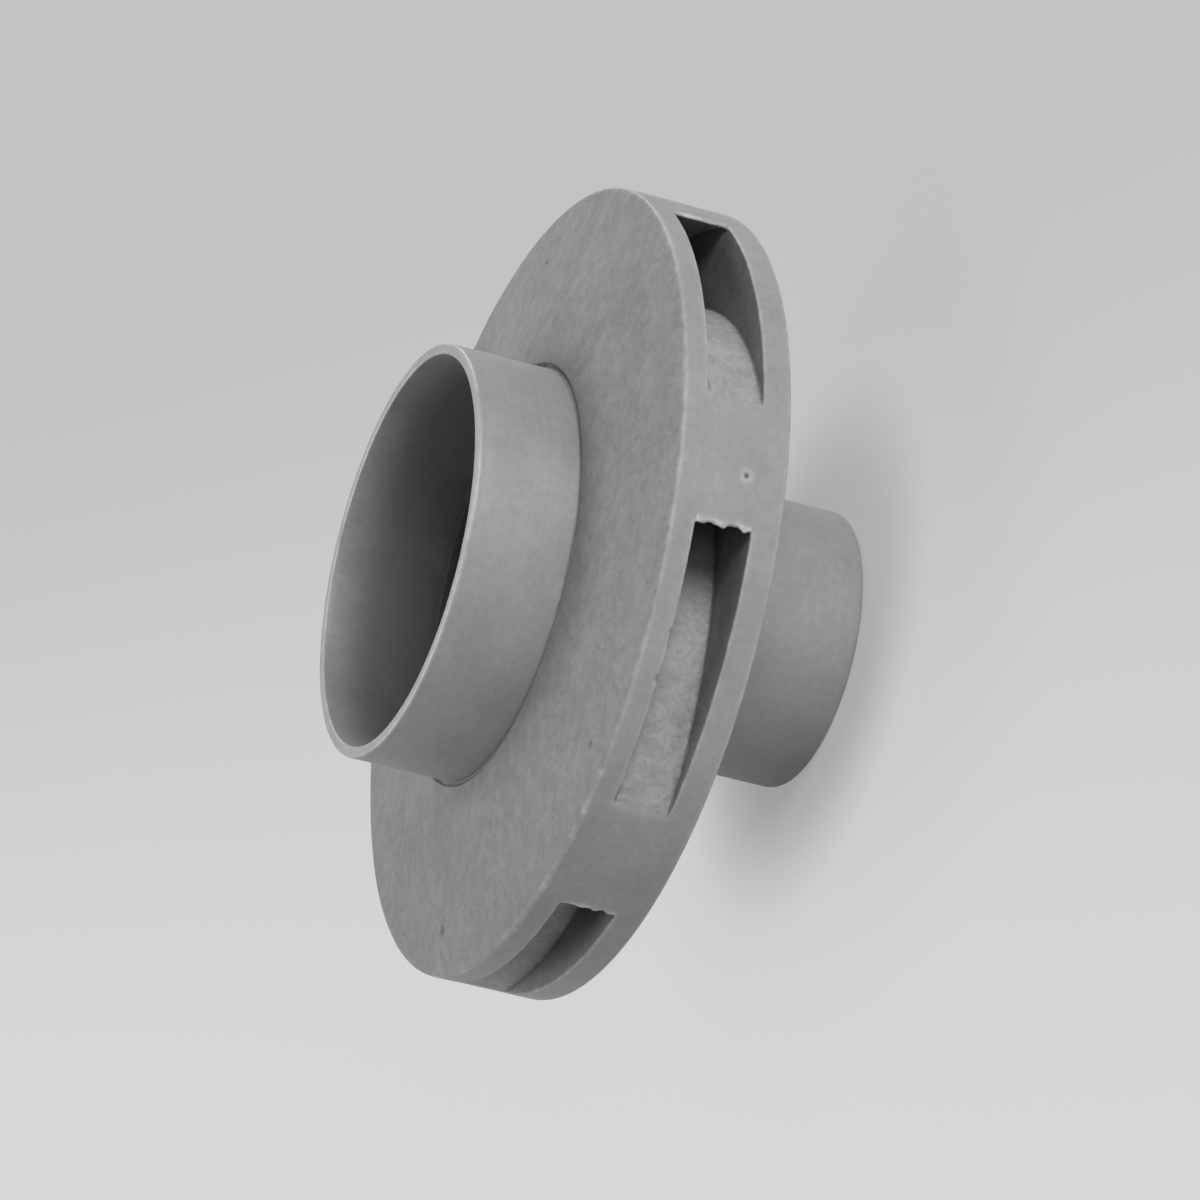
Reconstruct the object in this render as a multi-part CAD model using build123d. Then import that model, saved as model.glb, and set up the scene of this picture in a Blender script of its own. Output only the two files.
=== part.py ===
"""Closed centrifugal pump impeller: one iron casting, finish turned at the collar, rim and hub.

Axis on Z. Origin at the centre of the hub end face, on which the impeller stands.
The eye, inside the thin wear collar, looks up. Seen from the eye, the vanes sweep
clockwise from the eye to the rim, so the impeller turns anticlockwise.

It is made as the foundry makes it: a solid turned outside, less a core that is
the eye and the passages between the vanes, less the machined bore.
"""
import os
from math import atan2, cos, radians, sin, tan

from build123d import *

# ---- driving dimensions, in millimetres and degrees ----
outer_diameter = 127.0

hub_diameter = 45.0
hub_length = 31.5
hub_end_chamfer = 1.3
hub_root_round = 3.0

shaft_diameter = 25.0
key_width = 8.0
key_depth = 3.3
bore_chamfer = 0.8

rear_shroud_rim = 4.6
outlet_width = 9.15
front_shroud_rim = 3.9
rim_front_chamfer = 0.7
rim_back_chamfer = 0.3
face_rise = 4.4

collar_diameter = 66.4
collar_wall = 1.8
collar_height = 16.4
collar_lip_chamfer = 0.35
relief_width = 0.8
relief_depth = 0.5

eye_passage_width = 12.1
eye_bevel = 2.5
nose_diameter = 36.0
nose_height = 13.5
nose_land = 5.5
nose_chamfer = 1.0

vane_count = 6
vane_exit_angle = 17.0
vane_tip_arc = 18.1
vane_inlet_thickness = 3.2
vane_start_radius = 27.0
vane_edge_height = 7.6
vane_edge_slope = 30.0
first_vane_end = -58.0

# ---- radii and heights that follow from them ----
outer_radius = outer_diameter / 2
hub_radius = hub_diameter / 2
shaft_radius = shaft_diameter / 2
collar_radius = collar_diameter / 2
eye_radius = collar_radius - collar_wall
nose_radius = nose_diameter / 2

rear_inner_z = hub_length + rear_shroud_rim
front_inner_z = rear_inner_z + outlet_width
face_edge_z = front_inner_z + front_shroud_rim
face_root_z = face_edge_z + face_rise
lip_z = face_root_z + collar_height
eye_corner_z = rear_inner_z + eye_passage_width
nose_z = rear_inner_z + nose_height
flare_z = nose_z - nose_land
flare_round = flare_z - rear_inner_z
flare_radius = nose_radius + flare_round

# Cutting solids run past the surfaces that they open by this much.
overrun = 1.0


def corner(sketch, radius, height):
    """The profile vertex nearest to a radius and height."""
    return sketch.vertices().sort_by_distance((radius, height, 0))[0]


def turned(profile):
    """Revolve a profile drawn as X = radius, Y = height."""
    return revolve(Plane.XZ * profile, Axis.Z)


def polar(radius, angle):
    return Vector(radius * cos(angle), radius * sin(angle))


def turned_outside():
    """The whole outer form as one solid: hub, shroud backs, rim, sloping face and wear collar."""
    face_slope = face_rise / (outer_radius - collar_radius)
    relief_radius = collar_radius + relief_width
    relief_top_z = face_root_z - face_slope * relief_width
    relief_floor_z = relief_top_z - relief_depth
    with BuildSketch() as section:
        with BuildLine():
            Bezier(
                (hub_radius, hub_length - hub_root_round),
                (hub_radius, hub_length),
                (hub_radius + hub_root_round, hub_length),
            )
            Polyline(
                (hub_radius + hub_root_round, hub_length),
                (outer_radius, hub_length),
                (outer_radius, face_edge_z),
                (relief_radius, relief_top_z),
                (relief_radius, relief_floor_z),
                (collar_radius, relief_floor_z),
                (collar_radius, lip_z),
                (0, lip_z),
                (0, 0),
                (hub_radius, 0),
                (hub_radius, hub_length - hub_root_round),
            )
        make_face()
        chamfer(corner(section, hub_radius, 0), hub_end_chamfer)
        chamfer(corner(section, outer_radius, hub_length), rim_back_chamfer)
        chamfer(corner(section, outer_radius, face_edge_z), rim_front_chamfer)
        chamfer(corner(section, collar_radius, lip_z), collar_lip_chamfer)
    return turned(section.sketch)


def water_space():
    """Everything inside that holds water: the eye, over the hub nose, and out between the shrouds."""
    front_slope = (eye_corner_z - front_inner_z) / (outer_radius - eye_radius)
    outside_radius = outer_radius + overrun
    # Two equal flats break the corner between the eye and the front shroud.
    bevel_break = eye_bevel * (1 - cos(radians(45)))
    with BuildSketch() as section:
        with BuildLine():
            Bezier((nose_radius, flare_z), (nose_radius, rear_inner_z), (flare_radius, rear_inner_z))
            Polyline(
                (flare_radius, rear_inner_z),
                (outside_radius, rear_inner_z),
                (outside_radius, front_inner_z - front_slope * overrun),
                (eye_radius + eye_bevel, eye_corner_z - front_slope * eye_bevel),
                (eye_radius + bevel_break, eye_corner_z + bevel_break),
                (eye_radius, eye_corner_z + eye_bevel),
                (eye_radius, lip_z - collar_lip_chamfer),
                (eye_radius + collar_lip_chamfer + overrun, lip_z + overrun),
                (0, lip_z + overrun),
                (0, nose_z),
                (nose_radius - nose_chamfer, nose_z),
                (nose_radius, nose_z - nose_chamfer),
                (nose_radius, flare_z),
            )
        make_face()
    return turned(section.sketch)


def arcs_through(points):
    """A smooth chain of arcs, each through three points and starting where the last one ends."""
    for i in range(0, len(points) - 1, 2):
        ThreePointArc(*points[i : i + 3])


def vane_outline():
    """One vane seen along the axis: two even spirals, drawn as arcs, joined by a round leading edge."""
    outer_pitch = outer_radius * tan(radians(vane_exit_angle))
    inlet_angle = atan2(outer_pitch, vane_start_radius)
    inlet_arc = vane_inlet_thickness / (vane_start_radius * sin(inlet_angle))
    tip_arc = radians(vane_tip_arc)
    outer_turn = (outer_radius - vane_start_radius) / outer_pitch
    inner_turn = outer_turn - inlet_arc + tip_arc
    inner_pitch = (outer_radius - vane_start_radius) / inner_turn

    def outer_side(radius):
        return polar(radius, (outer_radius - radius) / outer_pitch)

    def inner_side(radius):
        return polar(radius, (outer_radius - radius) / inner_pitch - tip_arc)

    end_radius = outer_radius + 3 * overrun
    outer_start = vane_start_radius + vane_inlet_thickness * cos(inlet_angle)
    point_count = 7
    shares = [i / (point_count - 1) for i in range(point_count)]
    outer_points = [outer_side(end_radius + (outer_start - end_radius) * share) for share in shares]
    inner_points = [inner_side(vane_start_radius + (end_radius - vane_start_radius) * share) for share in shares]
    across = inner_points[0] - outer_points[-1]
    ahead = Vector(across.Y, -across.X).normalized()
    edge_point = (outer_points[-1] + inner_points[0]) * 0.5 + ahead * (across.length / 2)
    beyond_tip = polar(end_radius + overrun, -tip_arc / 2)
    with BuildSketch(Plane.XY.offset(rear_inner_z - overrun)) as outline:
        with BuildLine():
            arcs_through(outer_points)
            ThreePointArc(outer_points[-1], edge_point, inner_points[0])
            arcs_through(inner_points)
            ThreePointArc(inner_points[-1], beyond_tip, outer_points[0])
        make_face()
    return outline.sketch


def vane_reach():
    """The space that a vane may fill: its upper edge slopes up from the leading edge to the front shroud."""
    slope = tan(radians(vane_edge_slope))
    edge_z = rear_inner_z + vane_edge_height
    top_z = eye_corner_z + eye_bevel
    outside_radius = outer_radius + 2 * overrun
    with BuildSketch() as section:
        with BuildLine():
            Polyline(
                (shaft_radius, rear_inner_z - overrun),
                (outside_radius, rear_inner_z - overrun),
                (outside_radius, top_z),
                (vane_start_radius + (top_z - edge_z) / slope, top_z),
                (vane_start_radius, edge_z),
                (shaft_radius, edge_z),
                close=True,
            )
        make_face()
    return turned(section.sketch)


def vanes():
    """Blades that part the water space."""
    blade = extrude(vane_outline(), eye_passage_width + eye_bevel + overrun) & vane_reach()
    step = 360 / vane_count
    return [Rot(Z=first_vane_end + step * i) * blade for i in range(vane_count)]


def bore_and_keyway():
    """Keyed shaft bore through hub and nose, chamfered at both ends."""
    top_z = nose_z + overrun
    with BuildSketch() as section:
        with BuildLine():
            Polyline(
                (0, -overrun),
                (shaft_radius + bore_chamfer + overrun, -overrun),
                (shaft_radius, bore_chamfer),
                (shaft_radius, nose_z - bore_chamfer),
                (shaft_radius + bore_chamfer + overrun, top_z),
                (0, top_z),
                close=True,
            )
        make_face()
    keyway = Pos(0, 0, -overrun) * Box(
        shaft_radius + key_depth,
        key_width,
        top_z + overrun,
        align=(Align.MIN, Align.CENTER, Align.MIN),
    )
    return turned(section.sketch) + keyway


def impeller():
    core = water_space().cut(*vanes())
    return turned_outside().cut(core).cut(bore_and_keyway())


os.makedirs("parts", exist_ok=True)
export_step(impeller(), "parts/impeller.step")
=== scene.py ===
"""A closed pump impeller in grey cast iron, seen from the side with its eye in view.

The casting is one surface, found from a signed distance that follows the CAD solid:
negative in metal, positive in air, in millimetres. Corners that the CAD solid leaves sharp
get the small rounds of a real casting there.
"""
from math import atan2, cos, pi, radians, sin, tan

import bpy
import numpy as np
from mathutils import Matrix, Vector


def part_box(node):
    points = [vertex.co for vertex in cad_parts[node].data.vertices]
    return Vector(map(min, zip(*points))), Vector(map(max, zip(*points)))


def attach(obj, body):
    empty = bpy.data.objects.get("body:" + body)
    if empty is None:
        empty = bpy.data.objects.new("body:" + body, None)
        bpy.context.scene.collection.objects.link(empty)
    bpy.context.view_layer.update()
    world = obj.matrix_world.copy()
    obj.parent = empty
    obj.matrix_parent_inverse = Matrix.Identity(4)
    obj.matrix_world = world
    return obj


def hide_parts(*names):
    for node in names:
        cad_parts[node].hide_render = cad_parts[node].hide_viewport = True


MM = 0.001

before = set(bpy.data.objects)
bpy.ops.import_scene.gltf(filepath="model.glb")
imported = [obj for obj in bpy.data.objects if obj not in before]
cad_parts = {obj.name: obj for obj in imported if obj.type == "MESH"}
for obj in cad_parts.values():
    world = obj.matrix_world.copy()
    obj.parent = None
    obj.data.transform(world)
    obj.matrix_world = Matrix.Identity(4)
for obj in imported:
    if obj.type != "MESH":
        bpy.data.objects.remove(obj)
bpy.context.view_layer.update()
cad_low, cad_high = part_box("impeller")

# ---- sizes of the casting, in millimetres and degrees, as in the CAD solid ----
OUTER_RADIUS = (cad_high.x - cad_low.x) / 2 / MM
LIP_Z = cad_high.z / MM
HUB_RADIUS = 22.5
HUB_LENGTH = 31.5
SHAFT_RADIUS = 12.5
KEY_WIDTH = 8.0
KEY_DEPTH = 3.3
COLLAR_RADIUS = 33.2
EYE_RADIUS = 31.4
NOSE_RADIUS = 18.0
REAR_INNER_Z = 36.1
FRONT_INNER_Z = 45.25
FACE_EDGE_Z = 49.15
FACE_ROOT_Z = 53.55
EYE_CORNER_Z = 48.2
NOSE_Z = 49.6
FLARE_LEG = 8.0
RELIEF_WIDTH = 0.8
RELIEF_DEPTH = 0.5
VANE_COUNT = 6
VANE_EXIT_ANGLE = 17.0
VANE_TIP_ARC = 18.1
VANE_INLET_THICKNESS = 3.2
VANE_START_RADIUS = 27.0
VANE_EDGE_Z = 43.7
VANE_EDGE_SLOPE = 30.0
FIRST_VANE_END = -58.0

# ---- rounds of the real casting ----
HUB_END_ROUND = 1.5
HUB_ROOT_LEG = 3.0
RIM_FRONT_ROUND = 0.6
RIM_BACK_ROUND = 0.5
LIP_ROUND = 0.4
RELIEF_ROUND = 0.34
NOSE_ROUND = 1.2
EYE_CORNER_LEG = 2.8
BORE_CHAMFER = 0.8
VANE_LEAD_ROUND = 1.4
VANE_ROOT_FILLET = 0.4
OPENING_EDGE_ROUND = 0.22

# ---- the thin edge of each vane tip, which the casting leaves blunt and ragged ----
TIP_EDGE_THICKNESS = 0.55
TIP_EDGE_REACH = 7.0
TIP_EDGE_RAGGED = 0.5
TIP_EDGE_SCALE = 1.1

TIP_EDGE_SEED = 5

OVERRUN = 3.0

# ---- fineness of the rounds: a short leg takes few steps ----
SHORT_LEG = 1.0
SHORT_LEG_STEPS = 6
LEG_STEPS = 14

# ---- fineness of the mesh ----
NET_STEP = 0.36
MOST_TRIANGLES = 195_000
LONG_FACE = (0.9, 1.6)
LONG_FACE_LEAN = 4.0
NET_MARGIN = 1.03
NORMAL_REACH = 0.12
EDGE_WEAR_AND_HIGHLIGHT_BEND = (0.25, 1.1)
CAVITY_BEND = (0.2, 1.0)

# ---- guards for the arithmetic ----
FAR_OFF = 1e9
NO_LENGTH = 1e-9
NO_AREA = 1e-12

LATTICE_SIZE = 32


# ---------------------------------------------------------------- distances

def rounded(points):
    """A closed profile through (radius, height, leg) corners, each cut back by its leg and rounded."""
    outline = []
    corners = [np.array(p[:2], float) for p in points]
    for i, point in enumerate(points):
        here, leg = corners[i], point[2]
        if leg == 0:
            outline.append(here)
            continue
        before, after = corners[i - 1], corners[(i + 1) % len(corners)]
        start = here + (before - here) / np.linalg.norm(before - here) * leg
        end = here + (after - here) / np.linalg.norm(after - here) * leg
        steps = SHORT_LEG_STEPS if leg < SHORT_LEG else LEG_STEPS
        for share in np.linspace(0, 1, steps):
            outline.append(start * (1 - share) ** 2 + here * 2 * share * (1 - share) + end * share**2)
    return np.array(outline)


def profile_distance(outline, u, v):
    """Signed distance to a closed 2-D outline, negative inside it."""
    nearest = np.full(u.shape, FAR_OFF)
    inside = np.zeros(u.shape, bool)
    for (u0, v0), (u1, v1) in zip(outline, np.roll(outline, -1, axis=0)):
        du, dv = u1 - u0, v1 - v0
        share = np.clip(((u - u0) * du + (v - v0) * dv) / (du * du + dv * dv + NO_AREA), 0, 1)
        nearest = np.minimum(nearest, (u - u0 - share * du) ** 2 + (v - v0 - share * dv) ** 2)
        crosses = (v0 > v) != (v1 > v)
        if v1 != v0:
            inside ^= crosses & (u < u0 + (v - v0) * du / dv)
    return np.sqrt(nearest) * np.where(inside, -1, 1)


class TurnedForm:
    """A profile revolved about Z, whose distance is read from a fine table over radius and height."""

    STEP = 0.1
    LOW_Z = -4.0
    MARGIN = 6.0
    LAST_CELL = 1.001

    def __init__(self, points):
        radii = np.arange(0, OUTER_RADIUS + self.MARGIN, self.STEP)
        heights = np.arange(self.LOW_Z, LIP_Z + self.MARGIN, self.STEP)
        u, v = np.meshgrid(radii, heights, indexing="ij")
        self.table = profile_distance(rounded(points), u, v).astype(np.float32)

    def __call__(self, radius, height):
        u = np.clip(radius / self.STEP, 0, self.table.shape[0] - self.LAST_CELL)
        v = np.clip((height - self.LOW_Z) / self.STEP, 0, self.table.shape[1] - self.LAST_CELL)
        i, j = u.astype(np.int32), v.astype(np.int32)
        u, v = u - i, v - j
        t = self.table
        near = t[i, j] * (1 - v) + t[i, j + 1] * v
        far = t[i + 1, j] * (1 - v) + t[i + 1, j + 1] * v
        return near * (1 - u) + far * u


def both(a, b, leg):
    """What lies in both a and b, with a round where their surfaces meet."""
    past = np.hypot(np.maximum(a + leg, 0), np.maximum(b + leg, 0))
    return np.minimum(np.maximum(a, b), -leg) + past


def outside_form():
    slope = (FACE_ROOT_Z - FACE_EDGE_Z) / (OUTER_RADIUS - COLLAR_RADIUS)
    relief_radius = COLLAR_RADIUS + RELIEF_WIDTH
    relief_top = FACE_ROOT_Z - slope * RELIEF_WIDTH
    relief_floor = relief_top - RELIEF_DEPTH
    return TurnedForm([
        (-OVERRUN, 0, 0),
        (HUB_RADIUS, 0, HUB_END_ROUND),
        (HUB_RADIUS, HUB_LENGTH, HUB_ROOT_LEG),
        (OUTER_RADIUS, HUB_LENGTH, RIM_BACK_ROUND),
        (OUTER_RADIUS, FACE_EDGE_Z, RIM_FRONT_ROUND),
        (relief_radius, relief_top, RELIEF_ROUND),
        (relief_radius, relief_floor, RELIEF_ROUND),
        (COLLAR_RADIUS, relief_floor, RELIEF_ROUND),
        (COLLAR_RADIUS, LIP_Z, LIP_ROUND),
        (-OVERRUN, LIP_Z, 0),
    ])


def water_form():
    front_slope = (EYE_CORNER_Z - FRONT_INNER_Z) / (OUTER_RADIUS - EYE_RADIUS)
    beyond = OUTER_RADIUS + OVERRUN
    return TurnedForm([
        (NOSE_RADIUS, REAR_INNER_Z, FLARE_LEG),
        (beyond, REAR_INNER_Z, 0),
        (beyond, FRONT_INNER_Z - front_slope * OVERRUN, 0),
        (EYE_RADIUS, EYE_CORNER_Z, EYE_CORNER_LEG),
        (EYE_RADIUS, LIP_Z + OVERRUN, 0),
        (-OVERRUN, LIP_Z + OVERRUN, 0),
        (-OVERRUN, NOSE_Z, 0),
        (NOSE_RADIUS, NOSE_Z, NOSE_ROUND),
    ])


def bore_form():
    return TurnedForm([
        (-OVERRUN, -OVERRUN, 0),
        (SHAFT_RADIUS + BORE_CHAMFER + OVERRUN, -OVERRUN, 0),
        (SHAFT_RADIUS, BORE_CHAMFER, 0),
        (SHAFT_RADIUS, NOSE_Z - BORE_CHAMFER, 0),
        (SHAFT_RADIUS + BORE_CHAMFER + OVERRUN, NOSE_Z + OVERRUN, 0),
        (-OVERRUN, NOSE_Z + OVERRUN, 0),
    ])


def lattice_noise(points, scale, seed):
    """Smooth random values from -1 to 1 that vary over about scale; points is a list of coordinate arrays."""
    shape = (LATTICE_SIZE,) * len(points)
    values = np.random.default_rng(seed).uniform(-1, 1, shape).astype(np.float32)
    cells, shares = [], []
    for coordinate in points:
        place = np.asarray(coordinate) / scale
        cell = np.floor(place).astype(np.int32)
        share = place - cell
        cells.append(cell)
        shares.append(share * share * (3 - 2 * share))
    total = 0
    for corner in range(2 ** len(points)):
        index, weight = [], 1
        for axis, (cell, share) in enumerate(zip(cells, shares)):
            far = corner >> axis & 1
            index.append((cell + far) % LATTICE_SIZE)
            weight = weight * (share if far else 1 - share)
        total = total + values[tuple(index)] * weight
    return total


def tip_raggedness(tip_angle, height):
    """How far the broken edge of a vane tip stands back, by tip and by height."""
    number = np.round(tip_angle * VANE_COUNT / (2 * pi)) % VANE_COUNT
    place = [height, number * TIP_EDGE_SCALE]
    return TIP_EDGE_RAGGED * lattice_noise(place, TIP_EDGE_SCALE, TIP_EDGE_SEED)


def vane_distance(radius, angle, height):
    """Distance to the nearest of the vanes, each the space between two even spirals."""
    outer_pitch = OUTER_RADIUS * tan(radians(VANE_EXIT_ANGLE))
    inlet_angle = atan2(outer_pitch, VANE_START_RADIUS)
    inlet_arc = VANE_INLET_THICKNESS / (VANE_START_RADIUS * sin(inlet_angle))
    tip_arc = radians(VANE_TIP_ARC)
    outer_turn = (OUTER_RADIUS - VANE_START_RADIUS) / outer_pitch
    inner_pitch = (OUTER_RADIUS - VANE_START_RADIUS) / (outer_turn - inlet_arc + tip_arc)
    step = 2 * pi / VANE_COUNT
    inward = OUTER_RADIUS - radius
    gap = step - (inward / outer_pitch - inward / inner_pitch + tip_arc)
    past = np.mod(angle - radians(FIRST_VANE_END) - inward / outer_pitch, step)
    across = radius * outer_pitch / np.hypot(radius, outer_pitch)
    inner_side = (gap - past) * across - TIP_EDGE_THICKNESS * cos(radians(VANE_EXIT_ANGLE))
    sides = np.maximum(np.minimum(past * across, inner_side), (past - step) * across)
    tip = angle - radians(FIRST_VANE_END) + tip_arc
    beyond = -(np.mod(tip + step / 2, step) - step / 2) * radius + tip_raggedness(tip, height)
    half = TIP_EDGE_REACH / 2
    feather = np.maximum(inward - TIP_EDGE_THICKNESS, np.abs(beyond - half) - half)
    sides = np.maximum(sides, -feather)
    blade = both(sides, VANE_START_RADIUS - radius, VANE_LEAD_ROUND)
    slope = radians(VANE_EDGE_SLOPE)
    rise = (radius - VANE_START_RADIUS) * tan(slope)
    return both(blade, (height - VANE_EDGE_Z - rise) * cos(slope), VANE_LEAD_ROUND)


class Casting:
    """Signed distance to the whole impeller."""

    def __init__(self):
        self.outside = outside_form()
        self.water = water_form()
        self.bore = bore_form()

    def passages(self, radius, angle, height):
        vanes = vane_distance(radius, angle, height)
        return both(self.water(radius, height), -vanes, VANE_ROOT_FILLET)

    def __call__(self, x, y, z):
        radius = np.hypot(x, y)
        angle = np.arctan2(y, x)
        passages = self.passages(radius, angle, z)
        metal = both(self.outside(radius, z), -passages, OPENING_EDGE_ROUND)
        keyway = np.maximum(np.abs(y) - KEY_WIDTH / 2, x - SHAFT_RADIUS - KEY_DEPTH)
        keyway = np.maximum(keyway, -x)
        keyway = np.maximum(keyway, z - NOSE_Z - OVERRUN)
        return np.maximum(metal, -np.minimum(self.bore(radius, z), keyway))


# ---------------------------------------------------------------- meshing

def surface_net(distance, low, high, step):
    """Quads of the zero surface of distance: one vertex for each grid cell that it passes through."""
    axes = [np.arange(a, b + step, step) for a, b in zip(low, high)]
    shape = tuple(len(a) for a in axes)
    field = np.empty(shape, np.float32)
    x, y = np.meshgrid(axes[0], axes[1], indexing="ij")
    for k, z in enumerate(axes[2]):
        field[:, :, k] = distance(x, y, np.full_like(x, z))
    strides = np.array([shape[1] * shape[2], shape[2], 1])
    cell_ids, crossings, turns = [], [], []
    for axis in range(3):
        first = np.take(field, range(shape[axis] - 1), axis)
        last = np.take(field, range(1, shape[axis]), axis)
        crossed = (first < 0) != (last < 0)
        for other in range(3):
            if other != axis:
                edge = [slice(None)] * 3
                edge[other] = 0
                crossed[tuple(edge)] = False
        index = np.argwhere(crossed)
        at = tuple(index.T)
        share = first[at] / (first[at] - last[at])
        point = index.astype(float)
        point[:, axis] += share
        flat = index @ strides
        b, c = [strides[(axis + n) % 3] for n in (1, 2)]
        cell_ids.append(np.stack([flat, flat - b, flat - b - c, flat - c], 1))
        crossings.append(point)
        turns.append(first[at] < 0)
    cell_ids, crossings, turns = (np.concatenate(part) for part in (cell_ids, crossings, turns))
    used, corner = np.unique(cell_ids.ravel(), return_inverse=True)
    corner = corner.reshape(-1, 4)
    count = np.bincount(corner.ravel(), minlength=len(used))
    sums = [np.bincount(corner.ravel(), np.repeat(crossings[:, n], 4), len(used)) for n in range(3)]
    vertices = np.stack(sums, 1) / count[:, None] * step + np.array(low)
    quads = np.where(turns[:, None], corner, corner[:, ::-1])
    return vertices, quads


def gradient(distance, points, reach=0.05):
    slopes = []
    for axis in range(3):
        offset = np.zeros(3)
        offset[axis] = reach
        ahead, behind = (points + offset).T, (points - offset).T
        slopes.append(distance(*ahead) - distance(*behind))
    slopes = np.stack(slopes, 1)
    return slopes / np.maximum(np.linalg.norm(slopes, axis=1, keepdims=True), NO_LENGTH)


def settle(distance, points, rounds=2):
    """Move points onto the zero surface."""
    for _ in range(rounds):
        points = points - gradient(distance, points) * distance(*points.T)[:, None]
    return points


def spot(points, place, width):
    """1 at a place, falling to 0 a width away."""
    away = sum((coordinate - centre) ** 2 for coordinate, centre in zip(points, place))
    return np.exp(-away / width**2)


def on_rim(angle, height):
    return OUTER_RADIUS * cos(radians(angle)), OUTER_RADIUS * sin(radians(angle)), height


def on_face(angle, radius):
    slope = (FACE_ROOT_Z - FACE_EDGE_Z) / (OUTER_RADIUS - COLLAR_RADIUS)
    height = FACE_EDGE_Z + slope * (OUTER_RADIUS - radius)
    return radius * cos(radians(angle)), radius * sin(radians(angle)), height


# The pore, the nicks and the first four pits lie where the casting has them: their angles and heights
# were worked out, by a separate program, from spots picked out by eye. The other pits are invented.
PORE = on_rim(-68.5, 38.1)
PORE_WIDTH = 0.42
PORE_DEPTH = 0.75

# bruises of the rim's front edge, with a painted glint
NICK_Z = 49.1
NICK_WIDTH = 0.6
NICK_DEPTH = 0.28
NICKS = [on_rim(angle, NICK_Z) for angle in (-112.8, -119.5, -123.7, -133.6, -144.8)]

# pits of the cast face and the rim, with painted shade inside: (place, width)
PIT_DEPTH_SHARE = 0.8
PITS = [
    (on_face(-172.7, 56.5), 0.65),
    (on_face(-111.7, 57.6), 0.45),
    (on_rim(-91.7, 45.2), 0.4),
    (on_rim(-98.4, 45.3), 0.45),
    (on_face(70.0, 48.0), 0.5),
    (on_face(24.0, 55.0), 0.4),
    (on_rim(35.0, 34.0), 0.4),
    (on_rim(118.0, 47.4), 0.45),
]

# (place, width, depth) of each pore, pit and nick
MARKS = [(PORE, PORE_WIDTH, PORE_DEPTH)]
MARKS += [(nick, NICK_WIDTH, NICK_DEPTH) for nick in NICKS]
MARKS += [(pit, width, PIT_DEPTH_SHARE * width) for pit, width in PITS]

# waves that the mould left: (height, width, seed), and the share of them that turning takes away
WAVES = [(0.035, 6.0, 11), (0.022, 2.2, 12)]
TURNED_SMOOTHING = 0.85

# the burr on the thin edge of each vane tip, with a height that swings about its mean
BURR_PLACE = 0.25
BURR_WIDTH = 0.4
BURR_INWARD = 0.5
BURR_HEIGHT = 0.12
BURR_MEAN = 0.6
BURR_SWING = 0.4
BURR_SCALE = 0.9
BURR_SEED = 14


class Skin:
    """The casting with its pores, nicks, burrs and the waviness of its mould."""

    def __init__(self, casting):
        self.casting = casting

    def __call__(self, x, y, z):
        points = (x, y, z)
        radius, angle = np.hypot(x, y), np.arctan2(y, x)
        relief = sum(height * lattice_noise(points, width, seed) for height, width, seed in WAVES)
        relief = relief * (1 - TURNED_SMOOTHING * turned_share(radius, z))
        for place, width, depth in MARKS:
            relief = relief + depth * spot(points, place, width)
        tip = angle - radians(FIRST_VANE_END) + radians(VANE_TIP_ARC)
        step = 2 * pi / VANE_COUNT
        along = (np.mod(tip + step / 2, step) - step / 2) * radius - tip_raggedness(tip, z)
        burr = np.exp(-((along - BURR_PLACE) / BURR_WIDTH) ** 2) * (radius > OUTER_RADIUS - BURR_INWARD)
        burr = burr * (z > REAR_INNER_Z) * (z < FRONT_INNER_Z)
        uneven = BURR_MEAN + BURR_SWING * lattice_noise(points, BURR_SCALE, BURR_SEED)
        relief = relief - BURR_HEIGHT * burr * uneven
        return self.casting(x, y, z) + relief


def smooth_share(low, high, value):
    share = np.clip((value - low) / (high - low), 0, 1)
    return share * share * (3 - 2 * share)


# how far past each turned surface its share reaches, and how far short of the hub's root it ends
COLLAR_SKIRT = 0.3
COLLAR_FOOT = 1.2
EYE_SKIRT = 0.5
RIM_SKIRT = 0.25
HUB_SKIRT = 0.3
HUB_ROOT_GAP = 2
BORE_SKIRT = 0.4


def turned_share(radius, height):
    """1 on what is finish turned: the collar, its lip, the rim, the hub and the bore."""
    collar = (radius < COLLAR_RADIUS + COLLAR_SKIRT) & (radius > EYE_RADIUS - EYE_SKIRT)
    collar = collar & (height > FACE_ROOT_Z - COLLAR_FOOT)
    rim = radius > OUTER_RADIUS - RIM_SKIRT
    hub = (radius < HUB_RADIUS + HUB_SKIRT) & (height < HUB_LENGTH - HUB_ROOT_GAP)
    bore = radius < SHAFT_RADIUS + BORE_SKIRT
    return (collar | rim | hub | bore).astype(float)


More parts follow.
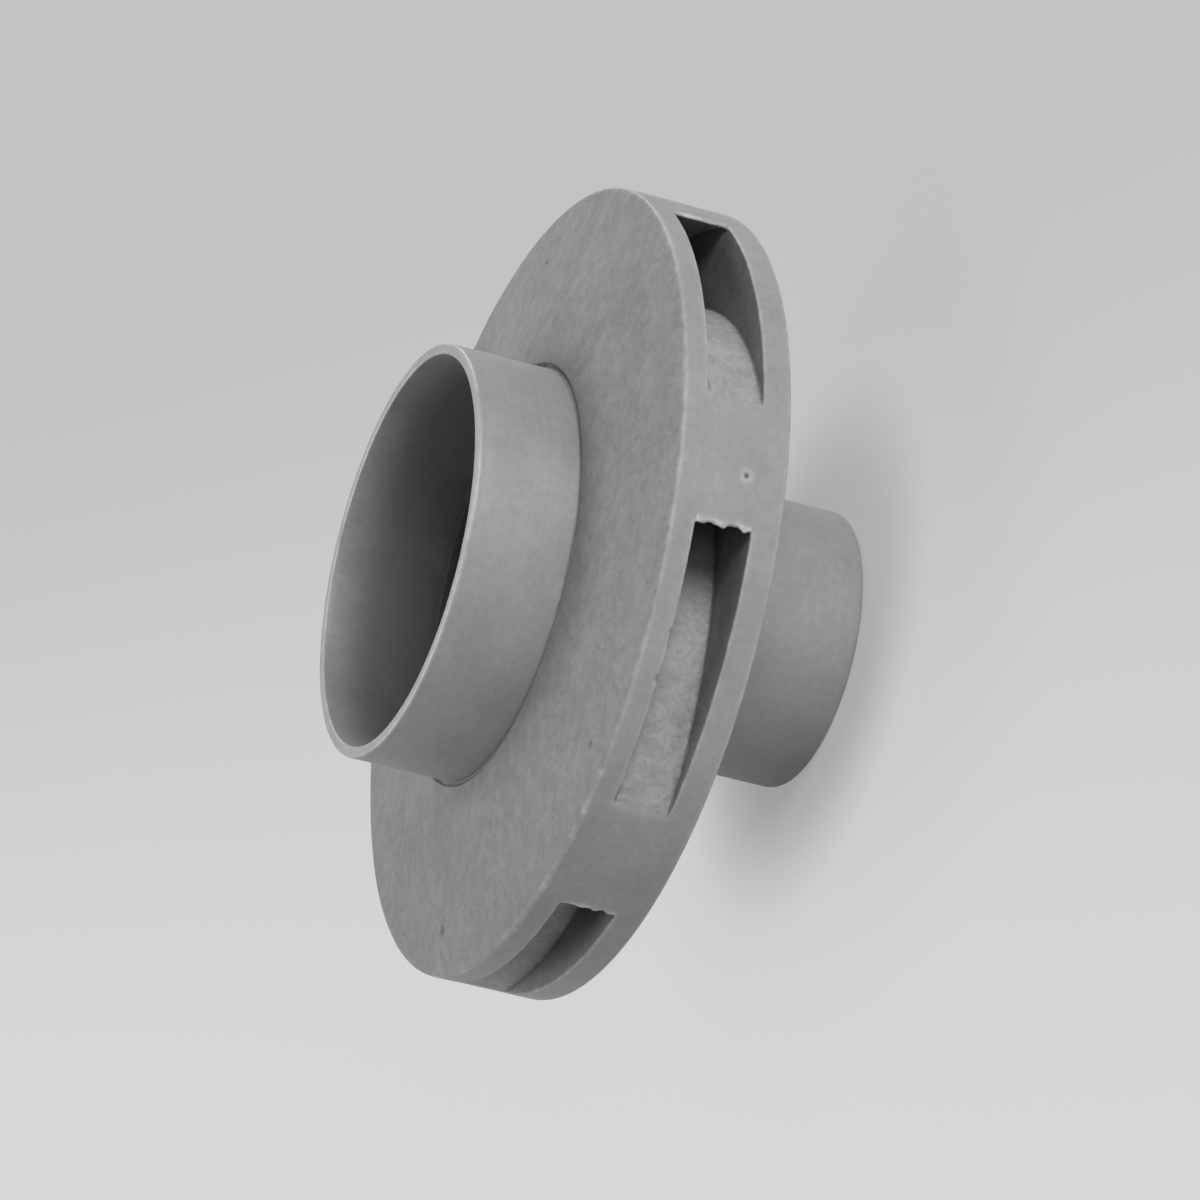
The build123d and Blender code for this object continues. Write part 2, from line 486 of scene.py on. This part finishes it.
def casting_mesh(casting):
    """The casting as a mesh of few enough faces, each vertex on the true surface."""
    reach = OUTER_RADIUS + NET_MARGIN
    low = (-reach, -reach, -NET_MARGIN)
    high = (reach, reach, LIP_Z + NET_MARGIN)
    step = NET_STEP
    vertices, quads = surface_net(casting, low, high, step)
    vertices = settle(casting, vertices)
    skin = Skin(casting)
    vertices = settle(skin, vertices, 1)
    mesh = bpy.data.meshes.new("impeller_net")
    mesh.from_pydata((vertices * MM).tolist(), [], quads.tolist())
    piece = bpy.data.objects.new("impeller_casting", mesh)
    bpy.context.scene.collection.objects.link(piece)
    fewer = piece.modifiers.new("fewer_faces", "DECIMATE")
    fewer.ratio = min(1.0, MOST_TRIANGLES / (2 * len(quads)))
    fewer.use_collapse_triangulate = True
    seen = piece.evaluated_get(bpy.context.evaluated_depsgraph_get())
    piece.data = bpy.data.meshes.new_from_object(seen)
    piece.modifiers.clear()
    bpy.data.meshes.remove(mesh)
    count = len(piece.data.vertices)
    points = np.empty(count * 3, np.float32)
    piece.data.vertices.foreach_get("co", points)
    points = settle(skin, points.reshape(-1, 3).astype(float) / MM)
    piece.data.vertices.foreach_set("co", (points * MM).astype(np.float32).ravel())
    piece.data.shade_smooth()
    dress_corners(piece.data, points, gradient(skin, points, NORMAL_REACH), bend(casting, points))
    return piece


def dress_corners(mesh, points, normals, edges):
    """Normal, edge wear with painted highlight, and painted corner shade of each face corner.

    A long face leans little and gets no edge mark, so that the slope, the wear, the painted highlight
    and the painted shade of a small round at one of its corners don't spread over it.
    at one of its corners don't spread over it.
    """
    corners = np.empty(len(mesh.loops), np.int32)
    mesh.loops.foreach_get("vertex_index", corners)
    corners = corners.reshape(-1, 3)
    sides = points[np.roll(corners, -1, axis=1)] - points[corners]
    longest = np.linalg.norm(sides, axis=2).max(axis=1)
    faces = np.cross(sides[:, 0], sides[:, 1])
    faces = faces / np.maximum(np.linalg.norm(faces, axis=1, keepdims=True), NO_LENGTH)
    spread = smooth_share(*LONG_FACE, longest)[:, None]
    leaning = normals[corners]
    upright = (leaning * faces[:, None]).sum(axis=2, keepdims=True)
    aside = leaning - upright * faces[:, None]
    amount = np.linalg.norm(aside, axis=2, keepdims=True)
    most = (1 - spread + spread * sin(radians(LONG_FACE_LEAN)))[:, :, None]
    aside = aside * np.minimum(1, most / np.maximum(amount, NO_LENGTH))
    leaning = faces[:, None] * np.sqrt(np.maximum(1 - (aside**2).sum(axis=2, keepdims=True), 0)) + aside
    mesh.normals_split_custom_set(leaning.reshape(-1, 3).tolist())
    # masks of the edges' wear with a painted highlight, and of painted shade in the inside corners
    looks = {"edge_wear_and_highlight": smooth_share(*EDGE_WEAR_AND_HIGHLIGHT_BEND, edges), "cavity": smooth_share(*CAVITY_BEND, -edges)}
    for name, values in looks.items():
        layer = mesh.attributes.new(name, "FLOAT", "CORNER")
        values = values[corners] * (1 - spread)
        layer.data.foreach_set("value", values.astype(np.float32).ravel())


def bend(distance, points, reach=0.45):
    """How sharply the surface bends, in 1/mm: above 0 on outside edges and below 0 in corners."""
    total = -6 * distance(*points.T)
    for axis in range(3):
        offset = np.zeros(3)
        offset[axis] = reach
        total = total + distance(*(points + offset).T) + distance(*(points - offset).T)
    return total / reach**2


# ---------------------------------------------------------------- materials

CAST_GREY = 0.272
COLLAR_GREY = 0.365
RIM_GREY = 0.335
HUB_GREY = 0.345


class Recipe:
    """A material's nodes. Each call takes numbers or outputs of other nodes."""

    def __init__(self, name):
        self.material = bpy.data.materials.new(name)
        self.material.use_nodes = True
        self.tree = self.material.node_tree
        self.shader = self.tree.nodes["Principled BSDF"]
        self.place = self.tree.nodes.new("ShaderNodeTexCoord").outputs["Object"]

    def put(self, socket, value):
        if isinstance(value, bpy.types.NodeSocket):
            self.tree.links.new(value, socket)
        else:
            socket.default_value = value

    def node(self, kind, inputs, **settings):
        node = self.tree.nodes.new("ShaderNode" + kind)
        for name, value in settings.items():
            setattr(node, name, value)
        for name, value in inputs.items():
            self.put(node.inputs[name], value)
        return node

    def maths(self, operation, *values):
        return self.node("Math", dict(enumerate(values)), operation=operation).outputs[0]

    def attribute(self, name):
        return self.node("Attribute", {}, attribute_name=name).outputs["Fac"]

    def noise(self, size, detail=2.0, place=None, distortion=0.0):
        """Noise whose grains are about a size in millimetres."""
        inputs = {"Vector": place or self.place, "Scale": 1 / (size * MM), "Detail": detail}
        inputs["Distortion"] = distortion
        return self.node("TexNoise", inputs).outputs[0]

    def between(self, value, low, high, first, last):
        """first up to low, last from high, and a smooth change between."""
        inputs = {"Value": value, "From Min": low, "From Max": high, "To Min": first, "To Max": last}
        return self.node("MapRange", inputs, interpolation_type="SMOOTHSTEP").outputs[0]

    def mixed(self, share, plain, full):
        return self.node("Mix", {0: share, 2: plain, 3: full}).outputs[0]

    def product(self, *values):
        total = values[0]
        for value in values[1:]:
            total = self.maths("MULTIPLY", total, value)
        return total

    def lighter(self, level, *shares):
        return self.product(level, self.maths("ADD", 1.0, self.product(*shares)))

    def darker(self, level, *shares):
        return self.product(level, self.maths("SUBTRACT", 1.0, self.product(*shares)))

    def grey(self, level):
        return self.node("CombineColor", {"Red": level, "Green": level, "Blue": level}).outputs[0]


class Around:
    """Where a point lies about the axis: its radius, height and angle, and what it belongs to.

    The masks are 1 on what they name. Their reaches and depths are in millimetres, the depths
    from the rim or from the lip.
    """

    RING_DRIFT = 0.6
    SKIRT = 0.3
    WIDE_SKIRT = 0.4
    COLLAR_RISE = 1.5
    HUB_ROOT_GAP = 2
    TIP_OUTER_FADE = 0.6
    TIP_INNER_FADE = 0.2
    FACE_GAP = 0.1
    EYE_LIGHT_REACH = 9
    EYE_LIGHT_SHARE = 0.45
    PASSAGE_DEPTHS = (16, 9)
    WALL_DEPTHS = (5, 0.5)
    WALL_HEIGHT = 0.35
    RAMP_DEPTHS = (15, 10)
    RAMP_MARGIN = 0.2
    EYE_DEPTHS = (9, 0.5)

    def __init__(self, recipe):
        self.recipe = recipe
        flat = recipe.node("VectorMath", {0: recipe.place, 1: (1, 1, 0)}, operation="MULTIPLY").outputs[0]
        self.radius = recipe.node("VectorMath", {0: flat}, operation="LENGTH").outputs["Value"]
        parts = recipe.node("SeparateXYZ", {"Vector": recipe.place}).outputs
        self.height = parts[2]
        self.angle = recipe.maths("ARCTAN2", parts[1], parts[0])

    def below(self, value, level, fade=0.2):
        return self.recipe.between(value, (level - fade) * MM, level * MM, 1, 0)

    def above(self, value, level, fade=0.2):
        return self.recipe.between(value, level * MM, (level + fade) * MM, 0, 1)

    def rings(self):
        """Coordinates for marks that run round the axis: radius, height and a little drift."""
        drift = self.recipe.maths("MULTIPLY", self.recipe.maths("SINE", self.angle), self.RING_DRIFT * MM)
        return self.recipe.node("CombineXYZ", {"X": self.radius, "Y": self.height, "Z": drift}).outputs[0]

    def inwards(self, start, depths, deep, shallow):
        """deep from the first depth inside a start radius inwards, shallow from the second outwards."""
        low, high = [(start - depth) * MM for depth in depths]
        return self.recipe.between(self.radius, low, high, deep, shallow)

    def past_eye(self, share):
        """A share at the eye's radius, rising to 1 where its light ends."""
        low, high = EYE_RADIUS * MM, (EYE_RADIUS + self.EYE_LIGHT_REACH) * MM
        return self.recipe.between(self.radius, low, high, share, 1)

    def collar(self):
        inside = self.below(self.radius, COLLAR_RADIUS + self.SKIRT)
        return self.recipe.product(inside, self.above(self.height, NOSE_Z + self.COLLAR_RISE))

    def rim(self):
        return self.above(self.radius, OUTER_RADIUS - self.SKIRT)

    def hub(self):
        """1 on the hub's outside and in the bore."""
        inside = self.below(self.radius, HUB_RADIUS + self.WIDE_SKIRT)
        outside = self.recipe.product(inside, self.below(self.height, HUB_LENGTH - self.HUB_ROOT_GAP))
        return self.recipe.maths("MAXIMUM", outside, self.below(self.radius, SHAFT_RADIUS + self.SKIRT))

    def edge(self, radius, height, reach):
        """1 on a turned corner of the profile and 0 from a reach away."""
        here = self.recipe.node("CombineXYZ", {"X": self.radius, "Y": self.height}).outputs[0]
        corner = (radius * MM, height * MM, 0)
        away = self.recipe.node("VectorMath", {0: here, 1: corner}, operation="DISTANCE").outputs["Value"]
        return self.recipe.between(away, 0, reach * MM, 1, 0)

    def along_tip(self):
        """Millimetres along the rim from the thin edge of the nearest vane tip."""
        start = radians(FIRST_VANE_END - VANE_TIP_ARC)
        half = pi / VANE_COUNT
        turn = self.recipe.maths("SUBTRACT", self.angle, start)
        return self.recipe.maths("MULTIPLY", self.recipe.maths("WRAP", turn, half, -half), OUTER_RADIUS)

    def outlet_edges(self, along, reach):
        """1 on the two long edges of each outlet."""
        tip_length = radians(VANE_TIP_ARC) * OUTER_RADIUS
        from_start = self.recipe.between(along, -self.TIP_OUTER_FADE, self.TIP_INNER_FADE, 0, 1)
        fade = (tip_length - self.TIP_INNER_FADE, tip_length + self.TIP_OUTER_FADE)
        on_tip = self.recipe.product(from_start, self.recipe.between(along, *fade, 1, 0))
        edges = self.recipe.maths(
            "MAXIMUM",
            self.edge(OUTER_RADIUS, REAR_INNER_Z, reach),
            self.edge(OUTER_RADIUS, FRONT_INNER_Z, reach),
        )
        return self.recipe.product(edges, self.recipe.maths("SUBTRACT", 1.0, on_tip))

    def between_shrouds(self):
        low = self.above(self.height, REAR_INNER_Z - self.SKIRT)
        return self.recipe.product(low, self.below(self.height, FACE_EDGE_Z - self.FACE_GAP))

    def passage(self):
        """1 deep in the passages, 0 at their outlets and less again where the eye lights them."""
        depth = self.inwards(OUTER_RADIUS, self.PASSAGE_DEPTHS, 1, 0)
        return self.recipe.product(depth, self.past_eye(self.EYE_LIGHT_SHARE), self.between_shrouds())

    def rear_wall(self):
        """1 on the rear wall of the passages, from a little way in."""
        depth = self.inwards(OUTER_RADIUS, self.WALL_DEPTHS, 1, 0)
        inward = self.past_eye(0)
        low = self.above(self.height, REAR_INNER_Z - self.SKIRT)
        wall = self.recipe.product(low, self.below(self.height, REAR_INNER_Z + self.WALL_HEIGHT))
        return self.recipe.product(depth, inward, wall)

    def ramp(self):
        """1 on the vane sides that face out of the outlets."""
        depth = self.inwards(OUTER_RADIUS, self.RAMP_DEPTHS, 0, 1)
        inside = self.recipe.maths("SUBTRACT", 1.0, self.rim())
        low = self.above(self.height, REAR_INNER_Z + self.RAMP_MARGIN)
        high = self.below(self.height, FRONT_INNER_Z - self.RAMP_MARGIN)
        return self.recipe.product(depth, inside, low, high)

    def eye(self):
        """1 deep in the eye and 0 at its lip."""
        low, high = [(LIP_Z - depth) * MM for depth in self.EYE_DEPTHS]
        depth = self.recipe.between(self.height, low, high, 1, 0)
        above_hub = self.above(self.height, HUB_LENGTH)
        return self.recipe.product(depth, above_hub, self.below(self.radius, EYE_RADIUS + self.WIDE_SKIRT))


def near(recipe, place, reach):
    """1 at a place, 0 from a reach away, in millimetres."""
    centre = tuple(value * MM for value in place)
    away = recipe.node("VectorMath", {0: recipe.place, 1: centre}, operation="DISTANCE").outputs["Value"]
    return recipe.between(away, 0, reach * MM, 1, 0)


# sizes of the grains and streaks, in millimetres
CLOUD_SIZE = 9.0
GRAIN_SIZE = 0.8
COARSE_SIZE = 2.6
SPECK_SIZE = 0.9
BLOTCH_SIZE = 1.5
RING_SIZE = 0.3
TURNED_GRAIN_SIZE = 1.2
WHORL_SIZE = 7.0

# how each noise turns into grey: (noise from, noise to, grey from, grey to)
CLOUDS = (0.3, 0.7, 0.95, 1.05)
MOTTLE = (0.34, 0.66, 0.89, 1.11)
SPECKS = (0.66, 0.74, 1.0, 0.84)
BLOTCHES = (0.58, 0.68, 1.0, 0.91)
RINGS = (0.3, 0.7, 0.98, 1.02)
TURNED_GRAIN = (0.3, 0.7, 0.96, 1.04)
RAGGED = (0.35, 0.65, 0.3, 1.0)
MOTTLE_SHARE = 0.5

# the burr's painted highlight, along the rim from the thin edge of a vane tip
BURR_HIGHLIGHT = 0.6
BURR_FADE = (0.1, 1.3)
BURR_START = (-1.5, -0.9)

# shares of the grey that painted highlights and worn edges gain and painted shade loses; reaches in
# millimetres or pit widths
EDGE_WEAR_AND_HIGHLIGHT_GAIN = 0.1
NICK_GLINT = 0.4
NICK_REACH = 1.1
PIT_SHADE = 0.55
PIT_REACH = 2.2
CORNER_SHADE_LOSS = 0.4
PASSAGE_SHADE = 0.64
REAR_WALL_SHADE = 0.3
EYE_SHADE = 0.42
RAMP_LIGHT = 0.3
WHORL_GAIN = 0.035
WHORL_TURNS = 60.0
PORE_RING_HIGHLIGHT = 0.5
PORE_RING_REACH = 1.7
PORE_CORE_SHADE = 0.93
PORE_CORE_REACH = 0.75

COLLAR_METALLIC = 0.3
HUB_METALLIC = 0.1
SPECULAR = 0.25
CAST_ROUGHNESS = 0.72
TURNED_ROUGHNESS = 0.5
GRAIN_ROUGHNESS = 0.2
BUMP_GRAIN = 0.5
BUMP_COARSE = 0.8
BUMP_RINGS = 0.12
BUMP_HEIGHT = 0.12
BUMP_STRENGTH = 0.7


def cast_grey(recipe, grain, coarse):
    """The grey of the cast skin: mottled, with dark specks and blotches."""
    fine_part = recipe.maths("MULTIPLY", grain, MOTTLE_SHARE)
    coarse_part = recipe.maths("MULTIPLY", coarse, MOTTLE_SHARE)
    level = recipe.between(recipe.maths("ADD", fine_part, coarse_part), *MOTTLE)
    specks = recipe.between(recipe.noise(SPECK_SIZE, detail=1.0, distortion=0.4), *SPECKS)
    blotches = recipe.between(recipe.noise(BLOTCH_SIZE, detail=2.0, distortion=0.6), *BLOTCHES)
    return recipe.product(level, specks, blotches, CAST_GREY)


def turned_grey(recipe, rings, rim, hub):
    """The grey of the turned surfaces, with the rings that the tool left."""
    grain = recipe.between(recipe.noise(TURNED_GRAIN_SIZE, detail=4.0), *TURNED_GRAIN)
    grey = recipe.mixed(rim, recipe.mixed(hub, COLLAR_GREY, HUB_GREY), RIM_GREY)
    return recipe.product(recipe.between(rings, *RINGS), grain, grey)


def with_edge_highlights_and_wear(recipe, around, level, rim, coarse, edge_wear_and_highlight):
    """The level, raised raggedly along the corners and burrs by painted highlights, partly also by the edges'
    wear.
    """
    ragged = recipe.between(coarse, *RAGGED)
    along = around.along_tip()
    low, high = around.above(around.height, REAR_INNER_Z), around.below(around.height, FRONT_INNER_Z)
    vane_height = recipe.product(low, high)
    # a painted highlight along the burr of each vane tip
    fade, start = recipe.between(along, *BURR_FADE, 1, 0), recipe.between(along, *BURR_START, 0, 1)
    burr = recipe.product(fade, start, rim, vane_height)
    # (where, gain) of each painted highlight; the last is also the edges' wear
    highlights_and_wear = [
        (around.edge(OUTER_RADIUS, FACE_EDGE_Z, reach=1.2), 0.2),
        (around.edge(OUTER_RADIUS, HUB_LENGTH, reach=1.0), 0.12),
        (around.edge(COLLAR_RADIUS, LIP_Z, reach=0.8), 0.12),
        (around.edge(EYE_RADIUS, LIP_Z, reach=0.6), 0.1),
        (around.edge(HUB_RADIUS, 0, reach=1.5), 0.1),
        (around.outlet_edges(along, reach=0.9), 0.22),
        (burr, BURR_HIGHLIGHT),
        (edge_wear_and_highlight, EDGE_WEAR_AND_HIGHLIGHT_GAIN),
    ]
    for share, gain in highlights_and_wear:
        level = recipe.lighter(level, share, ragged, gain)
    return level


def with_nick_glints_and_pit_shade(recipe, level):
    """The level, with a painted glint on the nicks and painted shade in the pits."""
    # painted glints on the nicks
    for nick in NICKS:
        level = recipe.lighter(level, near(recipe, nick, NICK_REACH), NICK_GLINT)
    # painted shade in the pits
    for pit, width in PITS:
        level = recipe.darker(level, near(recipe, pit, PIT_REACH * width), PIT_SHADE)
    return level


def with_depth_shade_and_ramp_light(recipe, around, level):
    """The level, with painted shade deep in the openings and painted light on the whorled sides of the vanes.
    """
    # painted shade deep in the passages, on their rear wall and deep in the eye
    painted_shade_places = [
        (around.passage(), PASSAGE_SHADE),
        (around.rear_wall(), REAR_WALL_SHADE),
        (around.eye(), EYE_SHADE),
    ]
    for share, loss in painted_shade_places:
        level = recipe.darker(level, share, loss)
    # painted light where the vane sides face out of the outlets, with faint whorls
    turns = recipe.maths("MULTIPLY", recipe.noise(WHORL_SIZE, detail=0.0), WHORL_TURNS)
    whorls = recipe.maths("SINE", turns)
    ramp_light = recipe.maths("ADD", RAMP_LIGHT, recipe.maths("MULTIPLY", whorls, WHORL_GAIN))
    return recipe.lighter(level, around.ramp(), ramp_light)


def with_pore(recipe, level):
    """The level, with a painted highlight ring round the pore and painted shade in its core."""
    ring = near(recipe, PORE, PORE_RING_REACH)
    core = near(recipe, PORE, PORE_CORE_REACH)
    # a painted highlight round the pore and painted shade in its hole
    level = recipe.lighter(level, ring, PORE_RING_HIGHLIGHT)
    return recipe.darker(level, core, PORE_CORE_SHADE)


def iron():
    """Cast iron: rough and mottled where it is cast, smoother and ringed where it is turned."""
    recipe = Recipe("cast_iron_skin")
    around = Around(recipe)
    collar, rim, hub = around.collar(), around.rim(), around.hub()
    turned = recipe.maths("MAXIMUM", recipe.maths("MAXIMUM", collar, rim), hub)
    # the edges' wear, together with a painted highlight on them
    edge_wear_and_highlight = recipe.attribute("edge_wear_and_highlight")
    cavity = recipe.attribute("cavity")
    clouds = recipe.between(recipe.noise(CLOUD_SIZE, detail=3.0), *CLOUDS)
    grain = recipe.noise(GRAIN_SIZE, detail=4.0)
    coarse = recipe.noise(COARSE_SIZE, detail=2.0)
    cast_level = cast_grey(recipe, grain, coarse)
    rings = recipe.noise(RING_SIZE, detail=2.0, place=around.rings())
    turned_level = turned_grey(recipe, rings, rim, hub)
    level = recipe.mixed(turned, cast_level, turned_level)
    # painted highlights along the corners and burrs, partly also the edges' wear
    level = with_edge_highlights_and_wear(recipe, around, level, rim, coarse, edge_wear_and_highlight)
    level = with_nick_glints_and_pit_shade(recipe, level)
    # painted shade in the inside corners of the surface
    painted_corner_shade = recipe.maths("SUBTRACT", 1.0, recipe.product(cavity, CORNER_SHADE_LOSS))
    level = recipe.product(level, clouds, painted_corner_shade)
    level = with_depth_shade_and_ramp_light(recipe, around, level)
    level = with_pore(recipe, level)
    recipe.put(recipe.shader.inputs["Base Color"], recipe.grey(level))
    shine = recipe.product(collar, COLLAR_METALLIC)
    metallic = recipe.maths("ADD", shine, recipe.product(hub, HUB_METALLIC))
    recipe.put(recipe.shader.inputs["Metallic"], metallic)
    recipe.put(recipe.shader.inputs["Specular IOR Level"], SPECULAR)
    rough = recipe.mixed(turned, CAST_ROUGHNESS, TURNED_ROUGHNESS)
    uneven = recipe.maths("MULTIPLY", recipe.maths("SUBTRACT", grain, 0.5), GRAIN_ROUGHNESS)
    recipe.put(recipe.shader.inputs["Roughness"], recipe.maths("ADD", rough, uneven))
    fine_height = recipe.maths("MULTIPLY", grain, BUMP_GRAIN)
    coarse_height = recipe.maths("MULTIPLY", coarse, BUMP_COARSE)
    height_cast = recipe.maths("ADD", fine_height, coarse_height)
    height_turned = recipe.maths("MULTIPLY", rings, BUMP_RINGS)
    height = recipe.mixed(turned, height_cast, height_turned)
    bump = recipe.node("Bump", {"Height": height, "Distance": BUMP_HEIGHT * MM, "Strength": BUMP_STRENGTH})
    recipe.put(recipe.shader.inputs["Normal"], bump.outputs[0])
    return recipe.material


FLOOR_HALF = 4.0
FLOOR_TONE = 0.7
FLOOR_ROUGHNESS = 0.9
FLOOR_GREY = 0.61
FLOOR_DIM = 0.53
FLOOR_BRIGHT = 0.69
FLOOR_FADE = (-0.93, -0.13, 0)
FLOOR_FADE_SPAN = (-0.1, 0.09)
FLOOR_FAR_SPAN = (0.4, 1.5)
SHADOW_SHARE = 0.08
CONTACT_SHADOW_SHARE = 0.55
CONTACT_SHADOW_REACH = 2.2 * HUB_RADIUS


def pale_floor():
    """Camera rays see mostly a pale colour, dimmer towards one side as a painted fall-off of light, and a
    share of the lit floor with its shadows.
    """
    recipe = Recipe("pale_floor")
    recipe.shader.inputs["Base Color"].default_value = (FLOOR_TONE, FLOOR_TONE, FLOOR_TONE, 1)
    recipe.shader.inputs["Roughness"].default_value = FLOOR_ROUGHNESS
    far = recipe.node("VectorMath", {0: recipe.place}, operation="LENGTH").outputs["Value"]
    # painted fall-off of light: the pale colour is dimmer towards one side
    along = recipe.node("VectorMath", {0: recipe.place, 1: FLOOR_FADE}, operation="DOT_PRODUCT")
    near_level = recipe.between(along.outputs["Value"], *FLOOR_FADE_SPAN, FLOOR_DIM, FLOOR_BRIGHT)
    level = recipe.mixed(recipe.between(far, *FLOOR_FAR_SPAN, 0, 1), near_level, FLOOR_GREY)
    glow = recipe.node("Emission", {"Color": recipe.grey(level)})
    path = recipe.node("LightPath", {}).outputs
    seen = recipe.maths("MAXIMUM", path["Is Camera Ray"], path["Is Transmission Ray"])
    seen = recipe.maths("MAXIMUM", seen, path["Is Glossy Ray"])
    reach = (HUB_RADIUS * MM, CONTACT_SHADOW_REACH * MM)
    close = recipe.between(far, *reach, 1 - CONTACT_SHADOW_SHARE, 1 - SHADOW_SHARE)
    plain = recipe.mixed(recipe.between(far, *FLOOR_FAR_SPAN, 0, 1), close, 1.0)
    share = recipe.product(seen, plain)
    mix = recipe.node("MixShader", {0: share, 1: recipe.shader.outputs[0], 2: glow.outputs[0]})
    recipe.put(recipe.tree.nodes["Material Output"].inputs["Surface"], mix.outputs[0])
    return recipe.material


# ---------------------------------------------------------------- camera, stage and light

# Distance, elevation, roll and target are a program's output: a least-squares fit to points read off
# along the outlines of the casting in the picture.
CAMERA_DISTANCE = 1101.45
CAMERA_ELEVATION = 18.977
CAMERA_ROLL = 76.10
CAMERA_LENS = 210
CAMERA_SENSOR = 36
CAMERA_CLIP = 20
CAMERA_TARGET = Vector((0, 0, 35.57)) * MM


def camera():
    elevation, roll = radians(CAMERA_ELEVATION), radians(CAMERA_ROLL)
    back = Vector((0, -cos(elevation), sin(elevation)))
    level_right = Vector((1, 0, 0))
    level_up = back.cross(level_right)
    up = level_up * cos(roll) + level_right * sin(roll)
    right = up.cross(back)
    data = bpy.data.cameras.new("camera")
    data.lens = CAMERA_LENS
    data.sensor_width = CAMERA_SENSOR
    data.clip_end = CAMERA_CLIP
    view = bpy.data.objects.new("camera", data)
    place = Matrix((right, up, back)).transposed().to_4x4()
    place.translation = CAMERA_TARGET + back * CAMERA_DISTANCE * MM
    view.matrix_world = place
    bpy.context.scene.collection.objects.link(view)
    bpy.context.scene.camera = view


def softbox(name, towards, distance, size, power):
    """A round area lamp that shines at the impeller from a direction."""
    lamp = bpy.data.lights.new(name, "AREA")
    lamp.shape = "DISK"
    lamp.size = size
    lamp.energy = power
    box = bpy.data.objects.new(name, lamp)
    away = Vector(towards).normalized()
    box.matrix_world = away.to_track_quat("Z", "Y").to_matrix().to_4x4()
    box.location = CAMERA_TARGET + away * distance
    bpy.context.scene.collection.objects.link(box)


def floor():
    half = FLOOR_HALF
    corners = [(-half, -half, 0), (half, -half, 0), (half, half, 0), (-half, half, 0)]
    mesh = bpy.data.meshes.new("floor")
    mesh.from_pydata(corners, [], [(0, 1, 2, 3)])
    plane = bpy.data.objects.new("floor", mesh)
    bpy.context.scene.collection.objects.link(plane)
    plane.data.materials.append(pale_floor())


# (azimuth, elevation, power) of each lamp; azimuth 0 is at the camera's side, 90 is +X.
# These rows are a program's output, not a choice: a least-squares fit of many possible lamps to the
# greys of the picture. Only the last power was lowered. LAMP_LEVEL scales the fit's powers to a
# casting of grey 0.28.
LAMPS = [
    (45, 12, 7.1),
    (180, 68, 4.5),
    (135, 12, 3.5),
    (270, 68, 2.5),
    (225, 40, 2.2),
    (0, 12, 1.7),
    (315, 12, 0.7),
]
LAMP_LEVEL = 1.43
LAMP_SIZE = 0.7
LAMP_DISTANCE = 1.3


def lamps():
    for azimuth, elevation, power in LAMPS:
        a, e = radians(azimuth), radians(elevation)
        towards = (sin(a) * cos(e), -cos(a) * cos(e), sin(e))
        softbox("lamp_%d_%d" % (azimuth, elevation), towards, LAMP_DISTANCE, LAMP_SIZE, power * LAMP_LEVEL)


def studio_world():
    """No diffuse light of its own; what is seen past the floor has the floor's colour."""
    world = bpy.data.worlds.new("studio")
    world.use_nodes = True
    tree = world.node_tree
    path = tree.nodes.new("ShaderNodeLightPath")
    background = tree.nodes["Background"]
    background.inputs["Color"].default_value = (FLOOR_GREY, FLOOR_GREY, FLOOR_GREY, 1)
    strength = path.outputs["Is Camera Ray"]
    for other in ("Is Transmission Ray", "Is Glossy Ray"):
        either = tree.nodes.new("ShaderNodeMath")
        either.operation = "MAXIMUM"
        tree.links.new(strength, either.inputs[0])
        tree.links.new(path.outputs[other], either.inputs[1])
        strength = either.outputs[0]
    tree.links.new(strength, background.inputs["Strength"])
    bpy.context.scene.world = world


casting = Casting()
impeller = casting_mesh(casting)
impeller.data.materials.append(iron())
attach(impeller, "root")
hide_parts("impeller")
camera()
floor()
lamps()
studio_world()
bpy.context.scene.view_settings.view_transform = "Standard"
